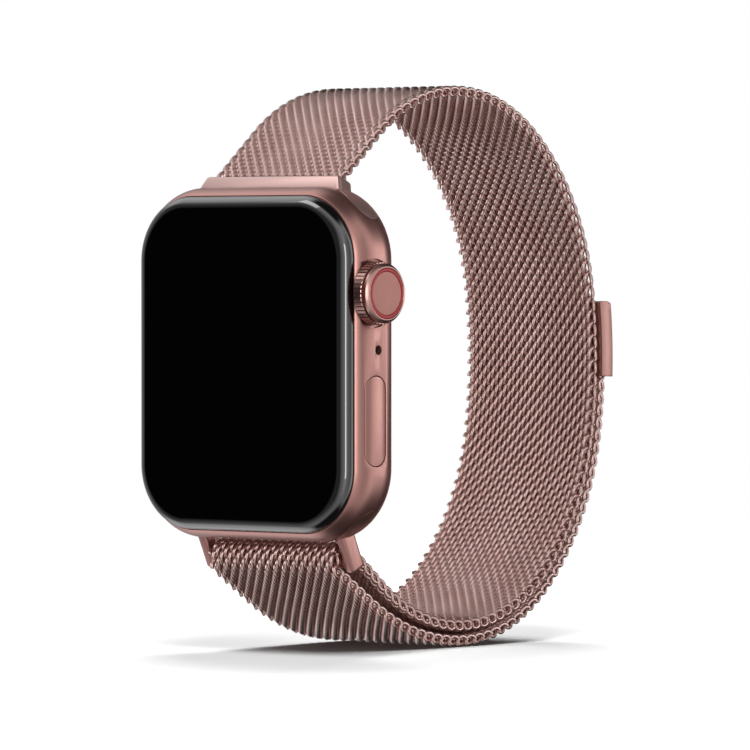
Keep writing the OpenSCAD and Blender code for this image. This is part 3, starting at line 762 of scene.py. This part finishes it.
def wireRow(turns):
    # one spiral across the band, its ends drawn in to a closed loop
    step = 2 * pi / weave["pointsPerTurn"]
    count = int(turns * weave["pointsPerTurn"]) + weave["endPoints"]
    advance = weave["width"] / weave["turns"] / weave["pointsPerTurn"]
    points, z = [], 0.0
    for i in range(count + 1):
        angle = i * step
        points.append([weave["alongReach"] * cos(angle), weave["acrossReach"] * sin(angle), z])
        slow = i < weave["endPoints"] or i >= count - weave["endPoints"]
        z -= advance * (weave["endEase"] if slow else 1)
    for point in points:
        point[2] -= z / 2
    row = polyCurve("wireRow", points, False)
    row.data.bevel_depth = weave["wire"]
    row.data.bevel_resolution = 1
    row.data.use_fill_caps = True
    activate(row)
    bpy.ops.object.convert(target="MESH")
    tidyMesh(bpy.context.object)
    return bpy.context.object


pathLine = polyCurve("bandPath", routePoints(), True)
bandLength = sum(runLength(run) for run in route["inner"])
tailLengths = [runLength(run) for run in route["tail"]]
wholeLength = bandLength + sum(tailLengths)
usable = wholeLength - 2 * weave["endMargin"]
pairs = round(usable / weave["rowStep"] / 2)
rowStep = usable / (2 * pairs - 1)
rowPair = wireRow(weave["turns"])
oddRow = wireRow(weave["turns"] - 1)
oddRow.data.transform(Matrix.Translation((rowStep, 0, 0)))
activate(rowPair, oddRow)
bpy.ops.object.join()
print("band rows:", 2 * pairs, "row step", round(rowStep, 4))


def bandPiece(name, first, last):
    # rows in pairs from first to last, laid along the path
    piece = copyOf(rowPair, name)
    piece.data.transform(Matrix.Translation((weave["endMargin"] + 2 * first * rowStep, 0, 0)))
    activate(piece)
    rows = piece.modifiers.new("rows", "ARRAY")
    rows.count = last - first
    rows.use_relative_offset = False
    rows.use_constant_offset = True
    rows.constant_offset_displace = (2 * rowStep, 0, 0)
    bend = piece.modifiers.new("alongPath", "CURVE")
    bend.object = pathLine
    bend.deform_axis = "POS_X"
    bpy.ops.object.modifier_apply(modifier="rows")
    bpy.ops.object.modifier_apply(modifier="alongPath")
    # the path is drawn flat: its x and y are the watch's Y and Z
    piece.data.transform(Matrix(((0, 0, 1, 0), (1, 0, 0, 0), (0, 1, 0, 0), (0, 0, 0, 1))))
    return piece


def pairAt(length):
    # the first pair of rows whose middle lies past this length of band
    return min(pairs, max(0, ceil((length - weave["endMargin"] - rowStep / 2) / (2 * rowStep))))


innerSplits = [0, sum(runLength(run) for run in route["inner"][:4]),
               sum(runLength(run) for run in route["inner"][:7]), bandLength]
innerNodes = [["strap_top", "strap_upper_back"], ["strap_back", "strap_lower_back"],
              ["strap_bottom", "strap_fold"]]
for index, name in enumerate(("bandTop", "bandBack", "bandBottom")):
    piece = bandPiece(name, pairAt(innerSplits[index]) if index else 0,
                      pairAt(innerSplits[index + 1]))
    finishPiece(piece, "band", "roseSteelWire", innerNodes[index], 70)
    meshOnly.objects.link(piece)
reached = bandLength
for index, length in enumerate(tailLengths):
    last = pairs if index == len(tailLengths) - 1 else pairAt(reached + length)
    piece = bandPiece(f"bandTail{index + 1}", pairAt(reached), last)
    finishPiece(piece, f"tail_{index + 1}", "roseSteelWire",
                [f"strap_tail_{index + 1}"], 70)
    meshOnly.objects.link(piece)
    reached += length
for piece in (rowPair, pathLine):
    bpy.data.objects.remove(piece)
print("band ready")

# Clasp: a section swept round the back of the loop
clasp = dict(centre=(-6.68698, 0.17893), inner=60.15, thick=2.2, start=-2.2, sweep=9.2,
             halfWidth=11.1, topRound=1.5, edge=0.35)


def claspSection(name, r0, r1, halfWidth, start, sweep, steps=16):
    # a curved block about the clasp's centre, angles in degrees from +Y
    centre = (0, clasp["centre"][0] + datum, clasp["centre"][1])
    piece = spunSection(name, (-halfWidth, centre[1] + r0, centre[2]),
                        (halfWidth, centre[1] + r1, centre[2]), centre, (1, 0, 0), sweep, steps)
    place = Matrix.Translation(centre)
    piece.data.transform(place @ Matrix.Rotation(radians(start), 4, "X") @ place.inverted())
    return piece


tab = claspSection("claspTab", clasp["inner"], clasp["inner"] + clasp["thick"],
                   clasp["halfWidth"], clasp["start"], clasp["sweep"])
activate(tab)
bpy.ops.object.mode_set(mode="EDIT")
topZ = max(vert.co.z for vert in tab.data.vertices)
outerY = max(vert.co.y for vert in tab.data.vertices)
pick("edges", lambda middle, way: abs(way.x) > 0.9 and middle.z > topZ - 0.6
     and middle.y > outerY - 1.2)  # the outer edge of the upper end
bpy.ops.mesh.bevel(offset=clasp["topRound"], segments=8, affect="EDGES")
bpy.ops.object.mode_set(mode="OBJECT")
softenEdges(tab, clasp["edge"], 50, 4)
finishPiece(tab, "tail_7", "brushedRoseSteel", ["clasp_shell"], 40)
print("clasp ready")

# CAD nodes that stay, each with its own finish
kept = dict(
    siliconeGasket=["display_gasket", "button_seal", "crown_seals"],
    displayLaminate=["display_panel"],
    castBackMetal=["back_cover"],
    blackCoverGlass=["back_crystal"],
    greenLightWindow=["pulse_lights"],
    epoxyPackage=["pulse_cells", "system_module", "crown_encoder", "microphone"],
    enamelledCopper=["charging_coil"],
    sinteredMagnet=["alignment_magnet", "clasp_magnets", "haptic_weight"],
    foilBatteryWrap=["battery"],
    solderMaskBoard=["logic_board"],
    stainlessHardware=["board_screws", "crown_tube", "crown_shaft", "crown_cup",
                       "crown_housing", "haptic_housing", "button_bracket",
                       "upper_latch_pin", "lower_latch_pin"],
    goldPlatedContact=["antenna", "crown_switch", "button_switch"],
    mouldedSpeakerBox=["speaker_box"],
    blackMetalMesh=["speaker_grille", "microphone_mesh"],
    brushedRoseSteel=["clasp_plate"])
for finish, nodes in kept.items():
    for node in nodes:
        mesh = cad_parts[node].data
        mesh.materials.clear()
        mesh.materials.append(materials[finish])

# Floor just under the lowest point of the band
sheet = dict(radius=0.32, drop=0.0001, grey=0.2, roughness=0.9)
deselect()
bpy.ops.mesh.primitive_circle_add(vertices=96, radius=sheet["radius"], fill_type="NGON",
                                  location=(0, 0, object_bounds()[0][2] - sheet["drop"]))
floor = bpy.context.object
floor.name = "floor"
paper = bpy.data.materials.new("whitePaper")
paper.use_nodes = True
paperShader = paper.node_tree.nodes["Principled BSDF"]
paperShader.inputs["Base Color"].default_value = (sheet["grey"],) * 3 + (1,)
paperShader.inputs["Roughness"].default_value = sheet["roughness"]
floor.data.materials.append(paper)
floorOnly.objects.link(floor)
floor.visible_glossy = floor.visible_diffuse = False  # the room alone lights the watch
